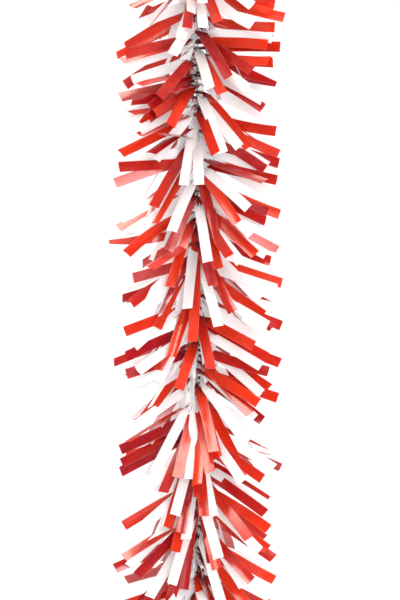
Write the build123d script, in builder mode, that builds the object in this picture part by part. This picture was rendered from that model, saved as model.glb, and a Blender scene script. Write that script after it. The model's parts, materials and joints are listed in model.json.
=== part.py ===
"""A hanging pom garland: film strips gripped crosswise in a twisted pair of wires.

One steel wire is folded in half. The fold is the top eye, and its two legs twist
round each other all the way down to the bottom eye. Each film strip passes between
the legs at its gathered waist, so that its two arms stand out on opposite sides and
droop. The twist turns each strip a little further round than the one above it.

The wire bends anywhere, so the core is divided into six stiff lengths with a short
flexing stretch between each two. The origin is the centre of the top eye, +Z is up,
and the eyes face along Y.
"""

import os
from math import cos, pi, radians, sin

from build123d import *

# Driving dimensions, in millimetres and degrees
EYE_TO_EYE = 762.0  # centre of the top eye to centre of the bottom eye
WIRE_DIAMETER = 1.2
WIRE_GAP = 0.8  # opening between the two wires that a strip's waist passes through
EYE_RADIUS = 8.0  # to the middle of the wire
EYE_OPENING = 60.0  # the arc that the eye leaves open above its neck
NECK_LENGTH = 16.0  # from an eye's centre to where the twist starts
TWIST_TURNS = 53.5  # a whole number of half turns keeps both eyes in one plane
WRAP_TURNS = 3  # turns of the wire's tail round the core above the bottom eye

STRIP_WIDTH = 9.5
STRIP_LENGTH = 170.0  # as cut, tip to tip
FILM_THICKNESS = 0.2
WAIST_WIDTH = 0.5  # gathered width between the wires
GATHER_REACH = 14.0  # distance from the axis at which a strip is flat and full width
SHOULDER_RADIUS = 25.0
SHOULDER_ANGLE = 22.0
DROOP_RADIUS = 200.0
TURN_PER_STRIP = 68.75  # how much further round each strip leaves the core
FIRST_STRIP_DEPTH = 22.0  # below the top eye's centre

LENGTH_COUNT = 6  # stiff lengths of core
FLEX_HALF = 6.0  # half of the flexing stretch at each joint

# Which bunch each strip belongs to, repeated down the core
RED, WHITE, BEARING = "red", "white", "white_bearing"
STRIP_ORDER = (RED, WHITE, RED, BEARING, RED, WHITE, WHITE, RED, RED, WHITE, RED, WHITE)

# Worked out from the dimensions above
WIRE_RADIUS = WIRE_DIAMETER / 2
HELIX_RADIUS = WIRE_RADIUS + WIRE_GAP / 2
CORE_RADIUS = HELIX_RADIUS + WIRE_RADIUS
TWIST_TOP = -NECK_LENGTH
TWIST_BOTTOM = NECK_LENGTH - EYE_TO_EYE
TWIST_PITCH = (TWIST_TOP - TWIST_BOTTOM) / TWIST_TURNS
STRIP_SPACING = TWIST_PITCH * TURN_PER_STRIP / 360
JOINT_SPACING = (TWIST_TOP - TWIST_BOTTOM) / LENGTH_COUNT
JOINT_HEIGHTS = [TWIST_TOP - n * JOINT_SPACING for n in range(1, LENGTH_COUNT)]
WAIST_REACH = CORE_RADIUS + 0.3  # the waist stays level until it is clear of the wires
STRIP_COUNT = int((EYE_TO_EYE - 2 * FIRST_STRIP_DEPTH) / STRIP_SPACING) + 1


def twist_angle(height):
    """Degrees that wire a has turned round the axis at this height."""
    return (height - TWIST_TOP) * 360 / TWIST_PITCH


def twisted_wire(low, high, side):
    """The stretch of wire a (side 0) or wire b (side 180) between two heights."""
    with BuildPart() as wire:
        with BuildLine() as path:
            Helix(TWIST_PITCH, high - low, HELIX_RADIUS)
        with BuildSketch(Plane(origin=path.line @ 0, z_dir=path.line % 0)):
            Circle(WIRE_RADIUS)
        sweep(is_frenet=True)
    return wire.part.moved(Location((0, 0, low), (0, 0, twist_angle(low) + side)))


def wire_leaving(height, side, up):
    """Where a wire leaves the twist at a height, and the direction it leaves in."""
    angle = radians(twist_angle(height) + side)
    slope = 2 * pi * HELIX_RADIUS / TWIST_PITCH
    point = Vector(HELIX_RADIUS * cos(angle), HELIX_RADIUS * sin(angle), height)
    heading = Vector(-slope * sin(angle), slope * cos(angle), 1) * up
    return point, heading


def eye(centre_height, neck_height, up):
    """A wire loop whose two ends run smoothly into the two twisted wires."""
    half = EYE_OPENING / 2
    turned = twist_angle(neck_height)
    loop_plane = Plane(
        origin=(0, 0, centre_height),
        x_dir=(cos(radians(turned)), sin(radians(turned)), 0),
        z_dir=(sin(radians(turned)) * up, -cos(radians(turned)) * up, 0),
    )
    start, start_heading = wire_leaving(neck_height, 0, up)
    end, end_heading = wire_leaving(neck_height, 180, up)
    with BuildPart() as loop:
        with BuildLine() as path:
            with BuildLine(loop_plane):
                ring = CenterArc((0, 0), EYE_RADIUS, half - 90, 360 - EYE_OPENING)
            Spline(start, ring @ 0, tangents=(start_heading, ring % 0))
            Spline(ring @ 1, end, tangents=(ring % 1, -end_heading))
        with BuildSketch(Plane(origin=start, z_dir=start_heading)):
            Circle(WIRE_RADIUS)
        sweep(path=path.wires()[0], is_frenet=False)
    return loop.part


def tail_wrap():
    """The wire's tail, wound closely round the core just above the bottom eye."""
    wrap_radius = CORE_RADIUS + WIRE_RADIUS + 0.05
    wrap_pitch = WIRE_DIAMETER + 0.1
    with BuildPart() as wrap:
        with BuildLine(Plane.XY.offset(TWIST_BOTTOM + WIRE_DIAMETER)) as path:
            Helix(wrap_pitch, wrap_pitch * WRAP_TURNS, wrap_radius)
        with BuildSketch(Plane(origin=path.line @ 0, z_dir=path.line % 0)):
            Circle(WIRE_RADIUS)
        sweep(is_frenet=True)
    return wrap.part


def film_strip():
    """One strip, both arms, with its waist at the origin and its arms along X."""
    shoulder_run = radians(SHOULDER_ANGLE) * SHOULDER_RADIUS
    droop_run = STRIP_LENGTH / 2 - WAIST_REACH - shoulder_run
    droop_angle = droop_run / DROOP_RADIUS * 180 / pi
    with BuildPart() as strip:
        with BuildSketch(Plane.XZ):
            with BuildLine():
                waist = Line((0, 0), (WAIST_REACH, 0))
                shoulder = JernArc(waist @ 1, waist % 1, SHOULDER_RADIUS, -SHOULDER_ANGLE)
                JernArc(shoulder @ 1, shoulder % 1, DROOP_RADIUS, -droop_angle)
                offset(amount=FILM_THICKNESS, side=Side.RIGHT)
            make_face()
            mirror(about=Plane.YZ)
        extrude(amount=STRIP_WIDTH / 2, both=True)
        with BuildSketch(Plane.XY):
            with BuildLine():
                Polyline(
                    (0, WAIST_WIDTH / 2),
                    (WAIST_REACH, WAIST_WIDTH / 2),
                    (GATHER_REACH, STRIP_WIDTH / 2),
                    (STRIP_LENGTH, STRIP_WIDTH / 2),
                    (STRIP_LENGTH, 0),
                    (0, 0),
                    close=True,
                )
            make_face()
            mirror(about=Plane.XZ)
            mirror(about=Plane.YZ)
        extrude(amount=STRIP_LENGTH, both=True, mode=Mode.INTERSECT)
    return strip.part


def strip_places():
    """Each strip's bunch, height and heading, from the top of the core down."""
    for number in range(STRIP_COUNT):
        height = -FIRST_STRIP_DEPTH - number * STRIP_SPACING
        yield STRIP_ORDER[number % len(STRIP_ORDER)], height, twist_angle(height) + 90


def bunch_of_strips(strip, colour, low, high):
    """All strips of one bunch whose waists lie between two heights, as separate solids."""
    places = [
        Location((0, 0, height), (0, 0, heading))
        for bunch, height, heading in strip_places()
        if bunch == colour and low < height <= high
    ]
    with BuildPart() as bunch_part:
        with Locations(*places):
            add(strip)
    return bunch_part.part


def save(part, name):
    part.label = name
    export_step(part, f"parts/{name}.step")


def main():
    os.makedirs("parts", exist_ok=True)
    strip = film_strip()
    limits = [TWIST_TOP, *JOINT_HEIGHTS, TWIST_BOTTOM]
    for number in range(1, LENGTH_COUNT + 1):
        high, low = limits[number - 1], limits[number]
        wire_high = high if number == 1 else high - FLEX_HALF
        wire_low = low if number == LENGTH_COUNT else low + FLEX_HALF
        save(twisted_wire(wire_low, wire_high, 0), f"core_wire_a_{number}")
        save(twisted_wire(wire_low, wire_high, 180), f"core_wire_b_{number}")
        for colour in (RED, WHITE, BEARING):
            save(bunch_of_strips(strip, colour, low, high), f"{colour}_strips_{number}")
    for number, height in enumerate(JOINT_HEIGHTS, start=1):
        with BuildPart() as flex:
            add(twisted_wire(height - FLEX_HALF, height + FLEX_HALF, 0))
            add(twisted_wire(height - FLEX_HALF, height + FLEX_HALF, 180))
        save(flex.part, f"flex_wires_{number}")
    save(eye(0, TWIST_TOP, 1), "top_eye")
    save(eye(-EYE_TO_EYE, TWIST_BOTTOM, -1), "bottom_eye")
    save(tail_wrap(), "tail_wrap")
    print(f"{STRIP_COUNT} strips, twist pitch {TWIST_PITCH:.2f} mm")
    print("joint heights", [round(height, 2) for height in JOINT_HEIGHTS])


main()
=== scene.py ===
"""Looks for the hanging pom garland: film strips gripped in a twisted pair of wires.

The core bends anywhere, so the fringe and the wires are cut into zones that meet halfway
between two joints, each zone over its own joint. Lengths are in millimetres and
angles in degrees until they reach Blender, which takes metres and radians.
"""

import json
import random
from math import asin, atan2, cos, degrees, pi, radians, sin, sqrt

import bpy
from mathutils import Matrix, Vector


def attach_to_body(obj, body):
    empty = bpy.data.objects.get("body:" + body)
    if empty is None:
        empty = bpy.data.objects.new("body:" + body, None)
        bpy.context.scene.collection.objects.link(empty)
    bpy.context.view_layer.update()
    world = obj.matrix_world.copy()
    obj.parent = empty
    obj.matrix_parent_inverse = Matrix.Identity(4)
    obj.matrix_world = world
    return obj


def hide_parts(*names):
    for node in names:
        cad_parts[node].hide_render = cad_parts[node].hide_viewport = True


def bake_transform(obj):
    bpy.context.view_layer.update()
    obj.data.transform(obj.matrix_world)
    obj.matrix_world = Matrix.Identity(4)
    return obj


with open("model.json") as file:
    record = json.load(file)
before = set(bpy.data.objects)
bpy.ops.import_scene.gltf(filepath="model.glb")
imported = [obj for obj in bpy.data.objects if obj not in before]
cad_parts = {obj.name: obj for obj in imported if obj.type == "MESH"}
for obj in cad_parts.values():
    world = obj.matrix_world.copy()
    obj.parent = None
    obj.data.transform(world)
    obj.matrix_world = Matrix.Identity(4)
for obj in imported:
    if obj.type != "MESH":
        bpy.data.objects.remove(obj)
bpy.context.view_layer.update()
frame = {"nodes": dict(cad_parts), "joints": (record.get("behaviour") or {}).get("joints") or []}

MM = 0.001

# The wires, as in the CAD model
EYE_TO_EYE = 762.0
NECK_LENGTH = 16.0
WIRE_RADIUS = 0.6
HELIX_RADIUS = 1.0
TWIST_TURNS = 53.5
TWIST_TOP = -NECK_LENGTH
TWIST_BOTTOM = NECK_LENGTH - EYE_TO_EYE
TWIST_PITCH = (TWIST_TOP - TWIST_BOTTOM) / TWIST_TURNS

# The strips, as in the CAD model
FIRST_STRIP_DEPTH = 22.0
TURN_PER_STRIP = 68.75
STRIP_SPACING = TWIST_PITCH * TURN_PER_STRIP / 360
STRIP_COUNT = int((EYE_TO_EYE - 2 * FIRST_STRIP_DEPTH) / STRIP_SPACING) + 1
STRIP_LENGTH = 170.0
STRIP_WIDTH = 9.5
FILM_THICKNESS = 0.2
WAIST_WIDTH = 0.5
RED, WHITE = "red", "white"
STRIP_ORDER = (RED, WHITE, RED, WHITE, RED, WHITE, WHITE, RED, RED, WHITE, RED, WHITE)

# How every arm of a strip hangs
BUNCH_SPACING = 13.0
BUNCHES_ROUND = 4
HALF_BUNCH_TURN = 180 / BUNCHES_ROUND
BUNCH_PULL = 0.45  # how much of the way to its bunch an arm swings
SIDE_DROOP, EXTRA_FRONT_DROOP, EXTRA_BACK_DROOP = 19, 24, 14
LEAST_DROOP, MOST_DROOP = 12, 68
LEAST_CURL = 0.5  # between an arm's droop and its tip's, so that its curve has a radius
SIDE_ROLL = 78  # turns the arms at the sides nearly edge-on to the front
STRAY_SHARE = 0.18  # of the arms, twisted or bent away from their neighbours
LOWEST_TIP = 806.0  # below the top eye

# Listed arms
SET_FROM, SET_TO = 62.0, 640.0  # the depths between which most front arms are listed
SPAN_SHARE = 0.93  # the square of the distance from waist to tip, over that of the length
SWING_PER_MM = 7  # the swing that counts like 1 mm of depth when the nearest arm is chosen
FAR_SWING, FAR_SWING_COST = 80, 20  # a larger swing counts this many mm more
EDGE_ON_ROLL = 70

# Free arms, which are all the others. The limits are how far round from the front they are
FRONT_LIMIT = 75  # up to here, free arms are tucked behind the listed ones
SIDE_LIMIT = 125  # from the front limit to here, some hang over the core
SHINE_LIMIT = 110  # up to here, red arms may mirror a light
LEFT_SHINE_LIMIT = 15  # further left than this, more of them do
SHINING_LEFT, SHINING_RIGHT = 0.4, 0.12  # of the free red arms
HANGING_AT_SIDES = 0.35  # of the free arms there
STEEPEST = {RED: 60, WHITE: 82}  # droop of an arm that is tucked behind
TUCKED_SPREAD = 20  # how much less some of them droop

# The camera and the lights, in metres
MIDDLE = Vector((0, 0, -EYE_TO_EYE / 2 * MM))
CAMERA_PLACE = Vector((0.0029, -1.583, MIDDLE.z))
LEFT_LIGHT = Vector((-0.66, -0.7, 1.3))
RIGHT_LIGHT = Vector((0.76, -0.75, 1.2))
TOP_LIGHT = Vector((0.0, 0.4, 0.9))
FRONT_LIGHT = Vector((0.5, -2.2, -0.25))
WARM, COOL = (1.0, 0.91, 0.80), (0.97, 0.98, 1.0)
AMBIENT = 0.41  # strength of the light from all round
BACKDROP = 0.65  # added where the camera sees it, which makes it white
UNMIRRORED = 0.33  # taken away where film and wire mirror it
FLOOR_HEIGHT = -0.84
FLOOR_REACH = 0.9

JOINT_HEIGHTS = [joint["pos_m"][2] / MM for joint in frame["joints"]]
HALF_LENGTH = (JOINT_HEIGHTS[0] - JOINT_HEIGHTS[1]) / 2
ZONE_LIMITS = [h + HALF_LENGTH for h in JOINT_HEIGHTS] + [JOINT_HEIGHTS[-1] - HALF_LENGTH]


# ---------------------------------------------------------------- node trees


class Value:
    """What a node puts out, so that a chain of Math nodes can be written as a formula."""

    def __init__(self, graph, socket):
        self.graph, self.socket = graph, socket

    def __add__(self, other):
        return self.graph.maths("ADD", self, other)

    def __sub__(self, other):
        return self.graph.maths("SUBTRACT", self, other)

    def __rsub__(self, other):
        return self.graph.maths("SUBTRACT", other, self)

    def __mul__(self, other):
        return self.graph.maths("MULTIPLY", self, other)

    def __truediv__(self, other):
        return self.graph.maths("DIVIDE", self, other)

    def __pow__(self, other):
        return self.graph.maths("POWER", self, other)


class Graph:
    """A node tree with short calls for adding nodes and joining them."""

    def __init__(self, tree):
        self.tree = tree

    def node(self, kind, inputs=None, **settings):
        made = self.tree.nodes.new(kind)
        for name, value in settings.items():
            setattr(made, name, value)
        for name, value in (inputs or {}).items():
            self.feed(made.inputs[name], value)
        return made

    def feed(self, socket, value):
        if isinstance(value, Value):
            value = value.socket
        if isinstance(value, bpy.types.NodeSocket):
            self.tree.links.new(value, socket)
        else:
            socket.default_value = value

    def out(self, node, name=0):
        return Value(self, node.outputs[name])

    def maths(self, operation, *values, clamp=False):
        made = self.tree.nodes.new("ShaderNodeMath")
        made.operation, made.use_clamp = operation, clamp
        for socket, value in zip(made.inputs, values):
            self.feed(socket, value)
        return self.out(made)

    def sine(self, angle):
        return self.maths("SINE", angle)

    def cosine(self, angle):
        return self.maths("COSINE", angle)

    def eased(self, value, start, end):
        """0 before start and 1 after end, with a smooth change between."""
        made = self.tree.nodes.new("ShaderNodeMapRange")
        made.interpolation_type = "SMOOTHSTEP"
        self.feed(made.inputs["Value"], value)
        self.feed(made.inputs["From Min"], start)
        self.feed(made.inputs["From Max"], end)
        return self.out(made, "Result")

    def split(self, vector):
        """The three numbers of a vector."""
        made = self.node("ShaderNodeSeparateXYZ", {"Vector": vector})
        return [self.out(made, axis) for axis in "XYZ"]

    def merged(self, x, y, z):
        """The vector of three numbers."""
        return self.out(self.node("ShaderNodeCombineXYZ", {"X": x, "Y": y, "Z": z}), "Vector")

    def noise(self, vector, scale, detail):
        """Smooth random values that average a half."""
        inputs = {"Vector": vector, "Scale": scale, "Detail": detail}
        return self.out(self.node("ShaderNodeTexNoise", inputs))

    def mixed(self, share, first, second):
        """The first colour where share is 0, running to the second where it is 1."""
        made = self.node("ShaderNodeMix", data_type="RGBA")
        # A Mix node has sockets for every data type, so its colour ones go by number
        for number, value in ((0, share), (6, first), (7, second)):
            self.feed(made.inputs[number], value)
        return self.out(made, 2)


def new_tree(name, kind, inputs, outputs):
    """A node tree with named inputs (socket kind, name, value) and outputs (kind, name)."""
    tree = bpy.data.node_groups.new(name, kind)
    for socket_kind, socket_name, value in inputs:
        made = tree.interface.new_socket(socket_name, in_out="INPUT", socket_type=socket_kind)
        if value is not None:
            made.default_value = value
    for socket_kind, socket_name in outputs:
        tree.interface.new_socket(socket_name, in_out="OUTPUT", socket_type=socket_kind)
    graph = Graph(tree)
    entry = graph.node("NodeGroupInput")
    leave = graph.node("NodeGroupOutput")
    given = {name: graph.out(entry, name) for _, name, _ in inputs}
    return graph, given, leave


FLOAT, INT, GEOMETRY = "NodeSocketFloat", "NodeSocketInt", "NodeSocketGeometry"
COLOUR, MATERIAL = "NodeSocketColor", "NodeSocketMaterial"


# ------------------------------------------------------------------- fringe


def stored(graph, name, kind="FLOAT"):
    """What a mesh carries under a name."""
    made = graph.node("GeometryNodeInputNamedAttribute", {"Name": name}, data_type=kind)
    return graph.out(made, "Attribute")


def fringe_tree():
    """Turns each point, one for each arm, into half of a strip from its waist to its tip."""
    graph, given, leave = new_tree(
        "strip_fringe",
        "GeometryNodeTree",
        [
            (GEOMETRY, "Arms", None),
            (INT, "Steps Along", 9),
            (INT, "Steps Across", 4),
            (FLOAT, "Width", STRIP_WIDTH * MM),
            (FLOAT, "Thickness", FILM_THICKNESS * MM),
            (FLOAT, "Waist Width", WAIST_WIDTH * MM),
            (FLOAT, "Gather Reach", 15 * MM),
            (FLOAT, "Swing Reach", 14 * MM),
            (FLOAT, "Roll Reach", 26 * MM),
            (FLOAT, "Step Power", 1.65),
            (FLOAT, "Ripple", 1.1 * MM),
            (INT, "Seed", 3),
            (MATERIAL, "Film", None),
        ],
        [(GEOMETRY, "Fringe")],
    )
    # One arm as a thin flat box, open at its waist, which remembers where on the film it is
    box = graph.node(
        "GeometryNodeMeshCube",
        {
            "Size": (1.0, 1.0, 1.0),
            "Vertices X": given["Steps Along"] + 1,
            "Vertices Y": given["Steps Across"] + 1,
            "Vertices Z": 2,
        },
    )
    place = graph.out(graph.node("GeometryNodeInputPosition"))
    along, across, side = graph.split(place)
    open_box = graph.node(
        "GeometryNodeDeleteGeometry",
        {"Geometry": box.outputs["Mesh"], "Selection": graph.maths("LESS_THAN", along, -0.4999)},
        domain="FACE",
    )
    marked = graph.node(
        "GeometryNodeStoreNamedAttribute",
        {
            "Geometry": open_box.outputs["Geometry"],
            "Name": "film_place",
            "Value": graph.merged(along + 0.5, across * 2.0, side * 2.0),
        },
        data_type="FLOAT_VECTOR",
        domain="POINT",
    )
    placed = graph.node(
        "GeometryNodeInstanceOnPoints",
        {"Points": given["Arms"], "Instance": marked.outputs["Geometry"]},
    )
    real = graph.node("GeometryNodeRealizeInstances", {"Geometry": placed.outputs["Instances"]})

    step, across, side = graph.split(stored(graph, "film_place", "FLOAT_VECTOR"))
    length, skew, _ = graph.split(stored(graph, "cut", "FLOAT_VECTOR"))
    shoulder, droop, tip_droop = graph.split(stored(graph, "fall", "FLOAT_VECTOR"))
    heading, swing, sway = graph.split(stored(graph, "aim", "FLOAT_VECTOR"))
    near_roll, tip_roll, cup = graph.split(stored(graph, "roll", "FLOAT_VECTOR"))
    tone = stored(graph, "tone")
    root = stored(graph, "root")

    # Distance along the arm, with closer steps near the waist and a cut that isn't quite square
    spaced = step ** given["Step Power"]
    reach = length * spaced + across * skew * step**9

    # The arm bends down over its shoulder, and then more gently as far as its tip
    near = graph.maths("MINIMUM", reach, shoulder)
    far = graph.maths("MAXIMUM", reach - shoulder, 0.0)
    near_curve = droop / shoulder
    far_curve = (tip_droop - droop) / (length - shoulder)
    pitch = near_curve * near + far_curve * far
    far_pitch = droop + far_curve * far
    outward = (
        graph.sine(near_curve * near) / near_curve
        + (graph.sine(far_pitch) - graph.sine(droop)) / far_curve
    )
    down = (
        (1.0 - graph.cosine(near_curve * near)) / near_curve
        + (graph.cosine(droop) - graph.cosine(far_pitch)) / far_curve
    )

    # It swings to one side as it leaves the core, and it rolls to show its face or its edge
    turn = (
        heading
        + swing * graph.eased(reach, 1.5 * MM, given["Swing Reach"])
        + sway * spaced
    )
    roll = (
        near_roll * graph.eased(reach, 1.0 * MM, given["Roll Reach"])
        + (tip_roll - near_roll) * graph.eased(step, 0.35, 1.1)
    )

    # Across the arm: gathered into pleats at the waist, flat and full width past the gather
    open_share = graph.eased(reach, 1.0 * MM, given["Gather Reach"])
    full = given["Width"] / 2.0
    waist = given["Waist Width"] / 2.0
    half = waist + (full - waist) * open_share
    shut = graph.maths("SQRT", graph.maths("MAXIMUM", 1.0 - (half / full) ** 2.0, 0.0))
    zigzag = graph.cosine((across + 1.0) * given["Steps Across"] * (pi / 2))
    pleat = zigzag * shut * full / given["Steps Across"]
    uneven = graph.noise(graph.merged(reach * 28.0, tone * 90.0, given["Seed"]), 1.0, 1.0)
    ripple = (uneven - 0.5) * given["Ripple"] * 2.0 * step
    curl = cup * full * (across * across - 0.33) * open_share * step  # 0.33 keeps it centred
    lift = pleat + ripple + curl + side * given["Thickness"] / 2.0
    wide = across * half

    raised = wide * graph.sine(roll) + lift * graph.cosine(roll)
    forward = outward + graph.sine(pitch) * raised
    sideways = wide * graph.cosine(roll) - lift * graph.sine(roll)
    shaped = graph.node(
        "GeometryNodeSetPosition",
        {
            "Geometry": real.outputs["Geometry"],
            "Position": graph.merged(
                forward * graph.cosine(turn) - sideways * graph.sine(turn),
                forward * graph.sine(turn) + sideways * graph.cosine(turn),
                root - down + graph.cosine(pitch) * raised,
            ),
        },
    )
    welded = graph.node(
        "GeometryNodeMergeByDistance",
        {
            "Geometry": shaped.outputs["Geometry"],
            "Selection": graph.maths("LESS_THAN", step, 0.01),
            "Distance": 0.02 * MM,
        },
    )
    mapped = graph.node(
        "GeometryNodeStoreNamedAttribute",
        {
            "Geometry": welded.outputs["Geometry"],
            "Name": "UVMap",
            "Value": graph.merged(reach / given["Width"], across * 0.5 + 0.5, 0.0),
        },
        data_type="FLOAT2",
        domain="CORNER",
    )
    smooth = graph.node(
        "GeometryNodeSetShadeSmooth",
        {"Geometry": mapped.outputs["Geometry"], "Shade Smooth": True},
        domain="FACE",
    )
    edge_angle = graph.out(graph.node("GeometryNodeInputMeshEdgeAngle"), "Unsigned Angle")
    crisp = graph.node(
        "GeometryNodeSetShadeSmooth",
        {
            "Geometry": smooth.outputs["Geometry"],
            "Selection": graph.maths("GREATER_THAN", edge_angle, radians(25)),
            "Shade Smooth": False,
        },
        domain="EDGE",
    )
    finished = graph.node(
        "GeometryNodeSetMaterial",
        {"Geometry": crisp.outputs["Geometry"], "Material": given["Film"]},
    )
    graph.feed(leave.inputs["Fringe"], finished.outputs["Geometry"])
    return graph.tree


# Listed arms, in the order that they take the nearest free arm. Each has a mark, the
# depth of its waist below the top eye, how far right of the core its tip is, the tip's
# depth, and how much more it droops at its tip. r is red and w white, both turned to face
# the camera; R and W are edge-on; s is red and mirrors a light into the camera.
SET_ARMS = [
    ("r", 78, -4, 110, 4), ("r", 75, -9, 132, 4), ("w", 62, 5, 110, 2), ("w", 76, 6, 132, 3),
    ("r", 72, 19, 127, 6), ("w", 84, 51, 128, -22), ("r", 80, 72, 107, -6), ("r", 85, 66, 117, 0),
    ("w", 70, 51, 111, 6), ("r", 118, 72, 129, -8), ("s", 110, 69, 138, -10),
    ("w", 137, 69, 140, 6), ("r", 141, 65, 146, 5), ("r", 138, 77, 147, 4), ("s", 148, 66, 155, 3),
    ("r", 150, 70, 162, 0), ("r", 138, 23, 193, 4), ("r", 134, 29, 178, 8), ("w", 150, 12, 189, 3),
    ("w", 184, 24, 245, 4), ("w", 205, -12, 275, 4), ("w", 222, 2, 276, 3), ("r", 195, 17, 248, 2),
    ("r", 190, 48, 240, 6), ("w", 196, 39, 241, 3), ("w", 160, 60, 197, 5), ("w", 152, 46, 188, 2),
    ("w", 165, 72, 189, -4), ("r", 152, 73, 182, 2), ("r", 145, 50, 171, 4), ("r", 170, 61, 204, 8),
    ("r", 202, 73, 225, -12), ("w", 185, 72, 212, -8),
    ("s", 85, -59, 112, 0), ("W", 80, -44, 113, 6), ("w", 100, -60, 131, 4), ("r", 108, -66, 145, 6),
    ("w", 80, -15, 143, 6), ("w", 126, -22, 158, 10), ("w", 140, -65, 165, 0), ("r", 128, -66, 155, 4),
    ("r", 150, -67, 180, 12), ("s", 135, -69, 161, 2), ("w", 152, -59, 180, 4),
    ("s", 152, -52, 185, 8), ("s", 175, -71, 193, 0), ("r", 170, -59, 199, 4), ("s", 158, -23, 194, 8),
    ("r", 168, -50, 218, 4), ("r", 166, -37, 212, 6), ("s", 185, -60, 210, 2), ("s", 205, -71, 244, 0),
    ("w", 205, -38, 252, 4), ("r", 172, -44, 215, 3), ("w", 190, -52, 226, 2),
    ("r", 245, -72, 258, 0), ("w", 222, -36, 300, 4), ("r", 230, -40, 294, 8), ("R", 240, -48, 303, 10),
    ("w", 248, 47, 297, 2), ("s", 240, 62, 272, -2), ("w", 245, 70, 282, 0), ("w", 215, 65, 257, 4),
    ("r", 222, 63, 260, 6), ("r", 222, 76, 254, 2), ("r", 256, 37, 310, 4), ("w", 274, 50, 321, 4),
    ("r", 270, 65, 300, -8), ("r", 268, 78, 300, -10), ("r", 276, 63, 308, 0), ("r", 290, 54, 339, 2),
    ("r", 290, 30, 341, -12), ("w", 300, 40, 347, 4), ("r", 312, 68, 345, -14), ("w", 285, 10, 346, 2),
    ("w", 262, -23, 318, 6), ("w", 290, -75, 319, 2), ("r", 300, -65, 338, 22), ("s", 298, -25, 369, 5),
    ("r", 315, -2, 388, 2), ("w", 325, -9, 389, 3), ("w", 343, 20, 405, 4), ("s", 318, 15, 368, 4),
    ("w", 334, 58, 381, 2), ("r", 336, 80, 365, -4), ("r", 350, 62, 395, 2), ("r", 305, 77, 334, 2),
    ("w", 300, 64, 339, 4), ("r", 335, -58, 361, 0), ("w", 330, -60, 366, 4), ("w", 345, -50, 384, 4),
    ("r", 350, -60, 384, 20), ("w", 355, -62, 398, 6), ("s", 316, -42, 352, 2),
    ("r", 350, -37, 407, 4), ("r", 370, -24, 433, 4), ("s", 354, -4, 419, 2), ("r", 390, 46, 460, 2),
    ("w", 420, 60, 468, 2), ("w", 385, 69, 425, 0), ("w", 370, 66, 405, 0), ("r", 355, 78, 389, 0),
    ("r", 372, 80, 407, 0), ("r", 395, 52, 423, 2), ("r", 408, 65, 434, 0), ("w", 414, 59, 442, 2),
    ("r", 412, 78, 440, 4), ("r", 428, 67, 463, 2), ("r", 425, 66, 447, -6), ("r", 440, 75, 472, 0),
    ("s", 434, 49, 485, 2), ("w", 448, 53, 490, 2), ("r", 450, 60, 492, 8), ("r", 440, 56, 475, 6),
    ("w", 456, 45, 512, 2), ("s", 462, 19, 526, 2), ("r", 465, 42, 540, 2), ("w", 475, -7, 546, 2),
    ("r", 478, 12, 539, 4), ("w", 470, -39, 540, 3), ("r", 418, -16, 462, 2), ("r", 455, -50, 524, 2),
    ("r", 448, -46, 515, 4), ("r", 440, -50, 492, 4), ("r", 485, -18, 544, 2), ("r", 405, -65, 433, 4),
    ("r", 378, -66, 410, 0), ("w", 395, -36, 456, 4), ("r", 425, -65, 449, -6), ("w", 384, -58, 424, 4),
    ("w", 410, -54, 446, 4), ("W", 430, -44, 480, 6), ("r", 490, -71, 520, -4), ("R", 478, -64, 512, 4),
    ("w", 440, -64, 476, 4), ("w", 460, -60, 500, 4),
    ("r", 508, -71, 541, 0), ("s", 505, -70, 533, 0), ("r", 500, -31, 558, 4), ("w", 510, -20, 579, 2),
    ("r", 528, -15, 595, 2), ("r", 528, -27, 593, 4), ("r", 518, 7, 579, 4), ("w", 515, 15, 579, 4),
    ("w", 553, 20, 617, 3), ("r", 560, 14, 624, 3), ("r", 540, 63, 578, 2), ("w", 500, 42, 548, 4),
    ("r", 510, 60, 545, 4), ("w", 535, 65, 571, 2), ("r", 535, 66, 568, 4), ("r", 562, 66, 592, 8),
    ("r", 553, 48, 601, 2), ("w", 570, 58, 613, 4), ("r", 583, 72, 624, 0), ("r", 578, 66, 613, 2),
    ("w", 590, 43, 646, 2), ("r", 588, 50, 639, 2), ("s", 612, 72, 642, -8), ("w", 600, 25, 668, 3),
    ("r", 600, -28, 668, 4), ("w", 585, -23, 643, 3), ("r", 552, -20, 614, 4), ("w", 535, -10, 601, 2),
    ("r", 558, -68, 591, 4), ("w", 560, -55, 595, 4), ("s", 582, -68, 622, 2), ("w", 580, -63, 630, 4),
    ("r", 605, -77, 633, 0), ("r", 590, -55, 636, 4), ("w", 602, -44, 657, 4), ("r", 612, -50, 670, 4),
    ("r", 615, 48, 664, 3), ("w", 545, -62, 575, 2), ("w", 525, -60, 560, 4),
    ("r", 158, 71, 186, 0), ("w", 236, 73, 262, 0), ("r", 244, 74, 270, 0), ("w", 284, 66, 312, 0),
    ("w", 318, 77, 343, 0), ("w", 345, 74, 371, 0), ("r", 380, 79, 405, 0), ("w", 625, 67, 655, 0),
    ("w", 186, -69, 213, 0), ("w", 236, -76, 259, 0), ("r", 246, -77, 271, 3), ("w", 276, -71, 305, 0),
    ("w", 540, -69, 567, 2), ("s", 192, -52, 230, 4), ("s", 206, -42, 247, 4), ("r", 160, -30, 205, 2),
    ("r", 140, -26, 190, 2), ("r", 300, 20, 352, 2), ("r", 586, -12, 650, 3), ("r", 340, 33, 392, 3),
    ("r", 150, -34, 196, 4), ("r", 164, -42, 206, 3), ("r", 172, -24, 222, 3), ("s", 176, -32, 216, 4),
]


def twist_angle(height):
    """Degrees that the first wire has turned round the axis at this height."""
    return (height - TWIST_TOP) * 360 / TWIST_PITCH


def wrapped(angle):
    """The same angle, from -180 to 180."""
    return (angle + 180) % 360 - 180


def facing(heading):
    """How far a heading is from the camera's side, from -180 to 180, positive to the right."""
    return wrapped(heading + 90)


def aim_for(right, out):
    """How far round from the front an arm that reaches out points, to be this far right."""
    return degrees(asin(max(-1.0, min(1.0, right / out))))


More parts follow.
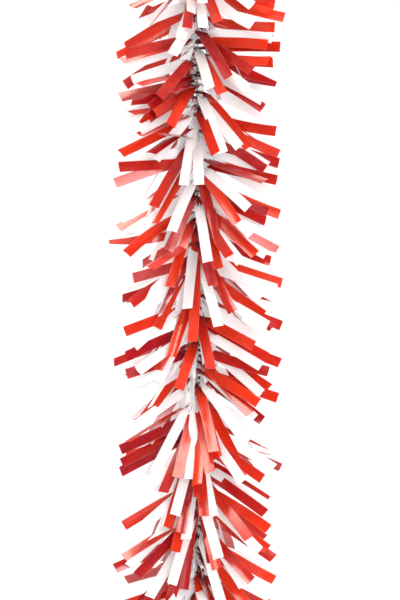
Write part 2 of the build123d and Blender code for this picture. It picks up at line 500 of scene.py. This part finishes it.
def profile(arm, distance):
    """How far out and how far down the arm has gone at a distance along it, in mm."""
    droop, tip_droop = radians(arm["droop"]), radians(arm["tip_droop"])
    near_curve = droop / arm["shoulder"]
    far_curve = (tip_droop - droop) / (arm["length"] - arm["shoulder"])
    near = min(distance, arm["shoulder"])
    far_pitch = droop + far_curve * max(distance - arm["shoulder"], 0.0)
    out = sin(near_curve * near) / near_curve + (sin(far_pitch) - sin(droop)) / far_curve
    down = (1 - cos(near_curve * near)) / near_curve + (cos(droop) - cos(far_pitch)) / far_curve
    return out, down


def set_droop(arm, droop, curl):
    """Sets the arm's droop past its shoulder, and at its tip, which is never quite the same."""
    arm["droop"] = max(droop, 1.0)
    arm["tip_droop"] = arm["droop"] + (curl if abs(curl) > LEAST_CURL else LEAST_CURL)


def face_roll(arm, shine=False):
    """The roll that turns the arm's flat face to the camera, or to mirror a light into it."""
    place = Vector((0, 0, arm["height"] * MM))
    heading = radians(arm["heading"] + arm["swing"])
    pitch = radians((arm["droop"] + arm["tip_droop"]) / 2)
    ahead = Vector((cos(pitch) * cos(heading), cos(pitch) * sin(heading), -sin(pitch)))
    across = Vector((-sin(heading), cos(heading), 0))
    top = Vector((sin(pitch) * cos(heading), sin(pitch) * sin(heading), cos(pitch)))
    toward = (CAMERA_PLACE - place).normalized()
    if shine:
        lights = (LEFT_LIGHT, RIGHT_LIGHT, TOP_LIGHT)
        ways = [toward + (light - place).normalized() for light in lights]
        toward = min(ways, key=lambda way: abs(way.normalized().dot(ahead)))
    roll = degrees(atan2(-across.dot(toward), top.dot(toward)))
    if abs(roll) > 90:  # the film's other face is as good
        roll -= 180 if roll > 0 else -180
    return roll


def all_bunches(chance):
    """Places that arms gather towards: depth, heading and how much more they droop there."""
    bunches = []
    depth = FIRST_STRIP_DEPTH
    while depth < -TWIST_BOTTOM:
        first = chance.uniform(0, 360)
        for turn in range(BUNCHES_ROUND):
            heading = first + 360 / BUNCHES_ROUND * turn + chance.gauss(0, 18)
            bunches.append((depth + chance.uniform(-4, 4), heading, chance.gauss(0, 4)))
        depth += BUNCH_SPACING
    return bunches


def natural_arm(chance, depth, heading, bunches):
    """The droop, roll and cut of an arm that nothing else is said about."""

    def distance(bunch):
        turn = abs(wrapped(bunch[1] - heading))
        return abs(bunch[0] - depth) / BUNCH_SPACING + turn / HALF_BUNCH_TURN

    _, bunch_heading, bunch_droop = min(bunches, key=distance)
    swing = wrapped(bunch_heading - heading) * BUNCH_PULL
    aim = facing(heading + swing)
    toward = cos(radians(aim))
    steep = EXTRA_FRONT_DROOP if toward > 0 else EXTRA_BACK_DROOP
    droop = SIDE_DROOP + steep * toward**2 + bunch_droop + chance.gauss(0, 5)
    turned = SIDE_ROLL * abs(sin(radians(aim))) ** 0.7
    roll = chance.choice((-1, 1)) * turned + chance.gauss(0, 16)
    arm = {
        "swing": swing,
        "shoulder": chance.uniform(11, 20),
        "near_roll": roll * chance.uniform(0.55, 1.0),
        "tip_roll": roll + chance.gauss(0, 14),
        "sway": chance.gauss(0, 7),
        "cup": chance.gauss(0, 0.10),
        "skew": chance.gauss(0, 0.5),
        "tone": chance.random(),
        "set": False,
    }
    curl = chance.uniform(-6, 14)
    if chance.random() < STRAY_SHARE:
        arm["tip_roll"] += chance.choice((-1, 1)) * chance.uniform(40, 80)
        arm["sway"] += chance.choice((-1, 1)) * chance.uniform(12, 26)
        curl += chance.uniform(-24, 34)
    set_droop(arm, min(max(droop, LEAST_DROOP), MOST_DROOP), curl)
    return arm


def place_tip(arm, right, drop, curl):
    """Droops and swings the arm until its tip is this far right of and below its waist."""
    low, high = 1.0, 89.0
    for _ in range(30):
        set_droop(arm, (low + high) / 2, curl)
        if profile(arm, arm["length"])[1] < drop:
            low = arm["droop"]
        else:
            high = arm["droop"]
    out = profile(arm, arm["length"])[0]
    arm["swing"] = wrapped(aim_for(right, out) - facing(arm["heading"]))


def set_by_hand(arms, chance):
    """Gives each listed place to the nearest free arm of its colour."""
    for mark, waist, right, tip, curl in SET_ARMS:
        colour = WHITE if mark in "wW" else RED
        span = STRIP_LENGTH**2 / 4 * SPAN_SHARE
        aim = aim_for(right, sqrt(max(span - (tip - waist) ** 2, 1.0)))

        def distance(arm):
            swing = abs(wrapped(aim - facing(arm["heading"])))
            cost = FAR_SWING_COST if swing > FAR_SWING else 0
            return abs(arm["height"] + waist) + swing / SWING_PER_MM + cost

        free = [a for a in arms if a["colour"] == colour and not a["set"]]
        arm = min(free, key=distance)
        arm["set"] = True
        arm["shoulder"] = chance.uniform(8, 14)
        arm["sway"] = 0.0
        place_tip(arm, right, tip + arm["height"], curl)
        roll = face_roll(arm, shine=mark == "s")
        if mark in "RW":
            roll += EDGE_ON_ROLL if roll < 0 else -EDGE_ON_ROLL
        unevenness = 1.5 if mark == "s" else 6
        arm["near_roll"] = roll + chance.gauss(0, unevenness)
        arm["tip_roll"] = roll + chance.gauss(0, unevenness)


def fill_behind(arms, chance):
    """Free arms at the front hang close to the core, under the listed ones."""
    for arm in arms:
        at_end = not SET_FROM < -arm["height"] < SET_TO
        if arm["set"] or at_end or abs(facing(arm["heading"])) > FRONT_LIMIT:
            continue
        arm["shoulder"] = chance.uniform(4, 8)
        steepest = STEEPEST[arm["colour"]]
        droop = chance.uniform(steepest - TUCKED_SPREAD, steepest)
        set_droop(arm, droop, chance.uniform(-4, 12))
        if arm["colour"] == WHITE:
            arm["near_roll"] = chance.choice((-1, 1)) * chance.uniform(45, 85)
            arm["tip_roll"] = arm["near_roll"] * chance.uniform(0.2, 1.0)
            side = chance.choice((-1, 1)) * chance.uniform(45, 85)
        else:
            arm["near_roll"] = chance.uniform(-40, 40)
            arm["tip_roll"] = chance.uniform(-30, 30)
            side = chance.uniform(-45, 45)
        arm["swing"] = side - facing(arm["heading"])


def let_shine(arms, chance):
    """Turns some of the free red arms, most of them on the left, to mirror a light."""
    for arm in arms:
        aim = facing(arm["heading"] + arm["swing"])
        share = SHINING_LEFT if -SHINE_LIMIT < aim < -LEFT_SHINE_LIMIT else SHINING_RIGHT
        seen = abs(aim) < SHINE_LIMIT
        if arm["colour"] == RED and not arm["set"] and seen and chance.random() < share:
            arm["near_roll"] = face_roll(arm, shine=True) + chance.gauss(0, 3)
            arm["tip_roll"] = arm["near_roll"] + chance.gauss(0, 5)
            arm["sway"] *= 0.3


def cover_sides(arms, chance):
    """Some free arms at each side hang close to the core, flat side out, and cover it."""
    for arm in arms:
        at_side = FRONT_LIMIT < abs(facing(arm["heading"])) < SIDE_LIMIT
        if arm["set"] or not at_side or chance.random() > HANGING_AT_SIDES:
            continue
        arm["shoulder"] = chance.uniform(5, 9)
        set_droop(arm, chance.uniform(44, 66), chance.uniform(-4, 14))
        arm["near_roll"] = chance.gauss(0, 18)
        arm["tip_roll"] = chance.gauss(0, 22)


def lift_lowest(arms):
    """Lifts the lowest arms until their tips are no lower than the garland may reach."""
    for arm in arms:
        curl = arm["tip_droop"] - arm["droop"]
        while profile(arm, arm["length"])[1] - arm["height"] > LOWEST_TIP:
            set_droop(arm, arm["droop"] - 1, curl)


def all_arms():
    """Every arm of every strip, from the top of the core down."""
    chance = random.Random(11)
    bunches = all_bunches(chance)
    arms = []
    for number in range(STRIP_COUNT):
        height = -FIRST_STRIP_DEPTH - number * STRIP_SPACING
        colour = STRIP_ORDER[number % len(STRIP_ORDER)]
        heading = twist_angle(height) + 90 + chance.uniform(-12, 12)
        uneven = chance.gauss(0, 1.8)
        for way in (0, 180):
            arm = natural_arm(chance, -height, heading + way, bunches)
            arm["colour"], arm["height"], arm["heading"] = colour, height, heading + way
            arm["length"] = STRIP_LENGTH / 2 + (uneven if way else -uneven)
            arms.append(arm)
    set_by_hand(arms, chance)
    fill_behind(arms, chance)
    let_shine(arms, chance)
    cover_sides(arms, chance)
    lift_lowest(arms)
    return arms


ARM_FIELDS = {
    "cut": lambda a: (a["length"] * MM, a["skew"] * MM, 0.0),
    "fall": lambda a: (a["shoulder"] * MM, radians(a["droop"]), radians(a["tip_droop"])),
    "aim": lambda a: (radians(a["heading"]), radians(a["swing"]), radians(a["sway"])),
    "roll": lambda a: (radians(a["near_roll"]), radians(a["tip_roll"]), a["cup"]),
}


def arm_points(arms):
    """A mesh of loose points, one for each arm, that carries the arm's numbers."""
    heights = [a["height"] * MM for a in arms]
    mesh = bpy.data.meshes.new("arms")
    mesh.from_pydata([(0, 0, height) for height in heights], [], [])
    for field, numbers in ARM_FIELDS.items():
        made = mesh.attributes.new(field, "FLOAT_VECTOR", "POINT")
        made.data.foreach_set("vector", [n for a in arms for n in numbers(a)])
    for field, values in (("tone", [a["tone"] for a in arms]), ("root", heights)):
        made = mesh.attributes.new(field, "FLOAT", "POINT")
        made.data.foreach_set("value", values)
    return mesh


def made_by(tree, mesh, name, settings, drop=()):
    """Runs a Geometry Nodes tree on a mesh and returns the result as a plain mesh object."""
    maker = bpy.data.objects.new("maker", mesh)
    bpy.context.scene.collection.objects.link(maker)
    modifier = maker.modifiers.new("maker", "NODES")
    modifier.node_group = tree
    for item in tree.interface.items_tree:
        if item.in_out == "INPUT" and item.name in settings:
            modifier[item.identifier] = settings[item.name]
    ready = maker.evaluated_get(bpy.context.evaluated_depsgraph_get())
    result = bpy.data.meshes.new_from_object(ready)
    result.name = name
    maker.modifiers.remove(modifier)
    bpy.data.objects.remove(maker)
    for field in drop:
        if field in result.attributes:
            result.attributes.remove(result.attributes[field])
    piece = bpy.data.objects.new(name, result)
    bpy.context.scene.collection.objects.link(piece)
    return piece


# ---------------------------------------------------------------- materials


def film_surface():
    """Shared by both films: tone from arm to arm, drawn lines, dents, pleats and slit edges, with
    painted shade in the pleats and near the waist and painted highlights and shade along the edges.
    """
    graph, given, leave = new_tree(
        "film_surface",
        "ShaderNodeTree",
        [
            (COLOUR, "Film Colour", (0.8, 0.8, 0.8, 1)),
            (COLOUR, "Deep Colour", (0.5, 0.5, 0.5, 1)),
            (COLOUR, "Painted Fold Shade", (0.2, 0.2, 0.2, 1)),
            (FLOAT, "Tone Spread", 0.5),
            (COLOUR, "Edge Colour", (1.0, 0.86, 0.84, 1)),
            (FLOAT, "Edge Share", 0.3),
            (FLOAT, "Root Shadow", 0.6),
            (FLOAT, "Gloss Roughness", 0.24),
            (FLOAT, "Scuff", 0.12),
        ],
        [(COLOUR, "Colour"), (FLOAT, "Roughness"), (FLOAT, "Height")],
    )
    uv = graph.out(graph.node("ShaderNodeUVMap", uv_map="UVMap"), "UV")
    tone = graph.out(
        graph.node("ShaderNodeAttribute", attribute_name="tone", attribute_type="GEOMETRY"), "Fac"
    )
    # Along counts strip widths from the waist, and across runs from 0 to 1
    along, across, _ = graph.split(uv)

    # Fine lines that the film was drawn and slit with
    drawn = graph.noise(graph.merged(along * 0.35, across * 15.0, tone * 60.0), 1.0, 3.0)
    # Broad soft dents
    dents = graph.noise(graph.merged(along * 0.9, across * 1.1, tone * 37.0), 1.0, 2.0)
    # Pleat lines fan out of the waist, with painted shade in narrow lines between them, and a painted
    # root shadow darkens all the film near the waist
    near_waist = graph.eased(along, 3.4, 1.2)
    pleats = graph.sine(across * (2 * pi * 4) + tone * 6.0) * near_waist
    painted_root_shade = graph.eased(along, 1.9, 0.3) * given["Root Shadow"]
    painted_fold_shade_mask = graph.maths("MAXIMUM", graph.eased(pleats, 0.45, 0.9) * 0.95, painted_root_shade)
    # The slit edges are paler on red film, partly the cut edge and partly a painted highlight, and
    # greyer on white film, a painted shade line between overlapping strips
    from_edge = 0.5 - graph.maths("ABSOLUTE", across - 0.5)
    edge = graph.eased(from_edge, 0.06, 0.02)

    # The colour is deeper on some arms and in some dents, and near the waist it deepens further as
    # painted shade
    spread = given["Tone Spread"]
    depth = (tone - 0.5) * spread + (dents - 0.5) * spread * 0.6 + 0.35
    # Painted shade: the colour deepens within about three strip widths of the waist
    depth = graph.maths("ADD", depth, graph.eased(along, 3.2, 0.0) * 0.55, clamp=True)
    shade = graph.mixed(depth, given["Film Colour"], given["Deep Colour"])
    with_painted_fold_shade = graph.mixed(painted_fold_shade_mask, shade, given["Painted Fold Shade"])
    coloured = graph.mixed(edge * given["Edge Share"], with_painted_fold_shade, given["Edge Colour"])
    graph.feed(leave.inputs["Colour"], coloured)
    scuffs = (drawn - 0.5) * given["Scuff"], (dents - 0.5) * given["Scuff"]
    graph.feed(leave.inputs["Roughness"], given["Gloss Roughness"] + scuffs[0] + scuffs[1])
    graph.feed(leave.inputs["Height"], drawn * 0.2 + dents * 1.4 + pleats * 1.2)
    return graph.tree


def new_material(name):
    """A material with its node graph and its Principled shader."""
    material = bpy.data.materials.new(name)
    material.use_nodes = True
    return material, Graph(material.node_tree), material.node_tree.nodes["Principled BSDF"]


def film_material(name, surface, looks, scatter, scatter_colour, painted_glow):
    """Glossy vinyl film. Looks are the surface's inputs, scatter lets light through, and the glow is
    painted light: the film glows evenly though it is no lamp.
    """
    material, graph, shader = new_material(name)
    film = graph.node("ShaderNodeGroup", looks, node_tree=surface)
    graph.feed(shader.inputs["Base Color"], film.outputs["Colour"])
    graph.feed(shader.inputs["Roughness"], film.outputs["Roughness"])
    bump = graph.node(
        "ShaderNodeBump",
        {"Strength": 0.35, "Distance": 0.15 * MM, "Height": film.outputs["Height"]},
    )
    graph.feed(shader.inputs["Normal"], bump.outputs["Normal"])
    shader.inputs["Specular IOR Level"].default_value = 0.55
    shader.inputs["IOR"].default_value = 1.53
    shader.inputs["Subsurface Weight"].default_value = scatter
    shader.inputs["Subsurface Radius"].default_value = scatter_colour
    shader.inputs["Subsurface Scale"].default_value = MM
    # Painted light: an even white glow from the film, though it is no lamp
    shader.inputs["Emission Color"].default_value = (1, 1, 1, 1)
    shader.inputs["Emission Strength"].default_value = painted_glow
    return material


def wire_material():
    """Galvanised wire: dull zinc grey, with spangle patches and faint drawn lines."""
    material, graph, shader = new_material("galvanised_wire")
    place = graph.node("ShaderNodeTexCoord").outputs["Object"]
    spangle = graph.node("ShaderNodeTexVoronoi", {"Vector": place, "Scale": 900.0})
    grain = graph.noise(place, 2500.0, 3.0)
    pale_zinc, dark_zinc = (0.42, 0.42, 0.44, 1), (0.24, 0.25, 0.27, 1)
    patch = graph.mixed(spangle.outputs["Distance"], pale_zinc, dark_zinc)
    graph.feed(shader.inputs["Base Color"], patch)
    shader.inputs["Metallic"].default_value = 1.0
    graph.feed(shader.inputs["Roughness"], grain * 0.25 + 0.32)
    bump = graph.node(
        "ShaderNodeBump",
        {"Strength": 0.3, "Distance": 0.03 * MM, "Height": grain},
    )
    graph.feed(shader.inputs["Normal"], bump.outputs["Normal"])
    return material


# -------------------------------------------------------------------- wires


def wire_tree():
    """Two wires twisted round each other between two heights."""
    graph, given, leave = new_tree(
        "twisted_wires",
        "GeometryNodeTree",
        [
            (GEOMETRY, "Start", None),
            (FLOAT, "Low", 0.0),
            (FLOAT, "High", 0.1),
            (FLOAT, "Turns", 4.0),
            (FLOAT, "Start Angle", 0.0),
            (FLOAT, "Twist Radius", HELIX_RADIUS * MM),
            (FLOAT, "Wire Radius", WIRE_RADIUS * MM),
            (INT, "Points Per Turn", 14),
            (INT, "Sides", 10),
            (MATERIAL, "Metal", None),
        ],
        [(GEOMETRY, "Wires")],
    )
    spiral = graph.node(
        "GeometryNodeCurveSpiral",
        {
            "Resolution": given["Points Per Turn"],
            "Rotations": given["Turns"],
            "Start Radius": given["Twist Radius"],
            "End Radius": given["Twist Radius"],
            "Height": given["High"] - given["Low"],
            "Reverse": False,
        },
    )
    ring = graph.node(
        "GeometryNodeCurvePrimitiveCircle",
        {"Resolution": given["Sides"], "Radius": given["Wire Radius"]},
    )
    wires = graph.node("GeometryNodeJoinGeometry")
    for side in (0.0, pi):
        turned = graph.node(
            "GeometryNodeTransform",
            {
                "Geometry": spiral.outputs["Curve"],
                "Translation": graph.merged(0.0, 0.0, given["Low"]),
                "Rotation": graph.merged(0.0, 0.0, given["Start Angle"] + side),
            },
        )
        graph.tree.links.new(turned.outputs["Geometry"], wires.inputs["Geometry"])
    solid = graph.node(
        "GeometryNodeCurveToMesh",
        {
            "Curve": wires.outputs["Geometry"],
            "Profile Curve": ring.outputs["Curve"],
            "Fill Caps": True,
        },
    )
    smooth = graph.node(
        "GeometryNodeSetShadeSmooth",
        {"Geometry": solid.outputs["Mesh"], "Shade Smooth": True},
    )
    real = graph.node("GeometryNodeRealizeInstances", {"Geometry": smooth.outputs["Geometry"]})
    finished = graph.node(
        "GeometryNodeSetMaterial",
        {"Geometry": real.outputs["Geometry"], "Material": given["Metal"]},
    )
    graph.feed(leave.inputs["Wires"], finished.outputs["Geometry"])
    return graph.tree


# ------------------------------------------------------------------ assembly

surface = film_surface()
red_film = film_material(
    "red_film",
    surface,
    {
        "Film Colour": (0.60, 0.026, 0.005, 1),
        # Deep colour: for arms of a deeper tone, and for the painted shade near the waist
        "Deep Colour": (0.24, 0.001, 0.010, 1),
        # Painted shade in the pleat lines and near the waist
        "Painted Fold Shade": (0.07, 0.001, 0.004, 1),
        "Tone Spread": 1.1,
        # Pale edges: partly the cut edge, partly a painted highlight
        "Edge Colour": (1.0, 0.5, 0.4, 1),
        "Edge Share": 0.14,
        "Root Shadow": 0.8,
        "Gloss Roughness": 0.21,
        "Scuff": 0.10,
    },
    scatter=0.15,
    scatter_colour=(1.0, 0.1, 0.05),
    painted_glow=0.0,
)
white_film = film_material(
    "white_film",
    surface,
    {
        "Film Colour": (0.79, 0.79, 0.80, 1),
        "Deep Colour": (0.71, 0.705, 0.72, 1),
        # Painted shade in the pleat lines and near the waist, tinted red as a painted reflection of the
        # red strips nearby
        "Painted Fold Shade": (0.18, 0.10, 0.11, 1),
        "Tone Spread": 0.5,
        # Grey edges: a painted shade line between the strips
        "Edge Colour": (0.52, 0.46, 0.48, 1),
        "Edge Share": 0.5,
        "Root Shadow": 0.12,
        "Gloss Roughness": 0.24,
        "Scuff": 0.10,
    },
    scatter=0.5,
    scatter_colour=(1.0, 1.0, 1.0),
    # Painted light: the white film glows a little, which lifts its shade
    painted_glow=0.10,
)
steel = wire_material()


def core_zones():
    """Each zone's name, its top, its bottom, and the lengths of core that it lies on."""
    joints = len(JOINT_HEIGHTS)
    edges = [TWIST_TOP, *ZONE_LIMITS, TWIST_BOTTOM]
    names = ["top", *(str(number) for number in range(1, joints + 1)), "bottom"]
    for number, name in enumerate(names):
        lengths = sorted({max(number, 1), min(number, joints) + 1})
        yield name, edges[number], edges[number + 1], lengths


def attach(piece, above, below, lengths, nodes):
    """Lets a piece follow its length of core; a piece between two lengths is only baked in place and
    does not bend.
    """
    if len(lengths) == 1:
        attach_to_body(piece, f"length_{lengths[0]}")
    else:
        above * MM
        below * MM
        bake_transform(piece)
    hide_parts(*nodes)


strip_maker = fringe_tree()
arms = all_arms()
films = (
    (RED, red_film, ["red_strips"]),
    (WHITE, white_film, ["white_strips", "white_bearing_strips"]),
)
for name, above, below, lengths in core_zones():
    for colour, film, kinds in films:
        mine = [a for a in arms if a["colour"] == colour and below < a["height"] <= above]
        piece = made_by(
            strip_maker,
            arm_points(mine),
            f"{colour}_fringe_{name}",
            {"Film": film},
            drop=["film_place", "root", *ARM_FIELDS],
        )
        nodes = [f"{kind}_{length}" for kind in kinds for length in lengths]
        attach(piece, above, below, lengths, nodes)

wire_maker = wire_tree()
for name, above, below, lengths in core_zones():
    piece = made_by(
        wire_maker,
        bpy.data.meshes.new("wire_start"),
        f"core_wires_{name}",
        {
            "Low": below * MM,
            "High": above * MM,
            "Turns": (above - below) / TWIST_PITCH,
            "Start Angle": radians(twist_angle(below)),
            "Metal": steel,
        },
    )
    nodes = [f"core_wire_{leg}_{length}" for leg in "ab" for length in lengths]
    if len(lengths) == 2:
        nodes.append(f"flex_wires_{lengths[0]}")
    attach(piece, above, below, lengths, nodes)

for node in ("top_eye", "bottom_eye", "tail_wrap"):
    data = frame["nodes"][node].data
    data.materials.clear()
    data.materials.append(steel)

# ------------------------------------------------------- stage, light, camera


def lamp(name, place, size, power, colour=(1, 1, 1)):
    """A soft rectangular light that shines at the middle of the garland."""
    data = bpy.data.lights.new(name, "AREA")
    data.shape, data.size, data.size_y = "RECTANGLE", size[0], size[1]
    data.energy, data.color = power, colour
    light = bpy.data.objects.new(name, data)
    light.location = place
    light.rotation_euler = (MIDDLE - Vector(place)).to_track_quat("-Z", "Y").to_euler()
    light.visible_camera = False
    bpy.context.scene.collection.objects.link(light)


lamp("left_light", LEFT_LIGHT, (0.8, 0.8), 24, WARM)
lamp("right_light", RIGHT_LIGHT, (0.7, 0.7), 19, WARM)
lamp("top_light", TOP_LIGHT, (0.8, 0.6), 14, WARM)
lamp("front_light", FRONT_LIGHT, (1.1, 1.1), 36, COOL)
lamp("left_side_light", (-1.8, 0.1, -0.3), (0.8, 1.4), 6)
lamp("right_side_light", (1.8, 0.1, -0.3), (0.8, 1.4), 6)
lamp("back_left_light", (-1.3, 1.7, 0.4), (1.0, 1.4), 24)
lamp("back_right_light", (1.4, 1.6, 0.2), (1.0, 1.4), 24)

world = bpy.data.worlds.new("studio")
world.use_nodes = True
bpy.context.scene.world = world
sky = Graph(world.node_tree)
background = world.node_tree.nodes["Background"]
background.inputs["Color"].default_value = (1, 1, 1, 1)
path = sky.node("ShaderNodeLightPath")
seen, mirrored = sky.out(path, "Is Camera Ray"), sky.out(path, "Is Glossy Ray")
strength = seen * BACKDROP + AMBIENT - mirrored * UNMIRRORED
sky.feed(background.inputs["Strength"], strength)

floor_mesh = bpy.data.meshes.new("studio_floor")
corners = ((-1, -1), (1, -1), (1, 1), (-1, 1))
floor_mesh.from_pydata(
    [(x * FLOOR_REACH, y * FLOOR_REACH, FLOOR_HEIGHT) for x, y in corners], [], [(0, 1, 2, 3)]
)
floor = bpy.data.objects.new("studio_floor", floor_mesh)
bpy.context.scene.collection.objects.link(floor)
floor_material, _, floor_shader = new_material("pale_floor")
floor_shader.inputs["Base Color"].default_value = (0.86, 0.86, 0.87, 1)
floor_shader.inputs["Roughness"].default_value = 0.7
floor_mesh.materials.append(floor_material)

camera_data = bpy.data.cameras.new("camera")
camera_data.lens, camera_data.sensor_width = 100.0, 36.0
camera = bpy.data.objects.new("camera", camera_data)
camera.location = CAMERA_PLACE
camera.rotation_euler = (radians(90), 0, 0)
bpy.context.scene.collection.objects.link(camera)
bpy.context.scene.camera = camera
bpy.context.scene.view_settings.view_transform = "Standard"
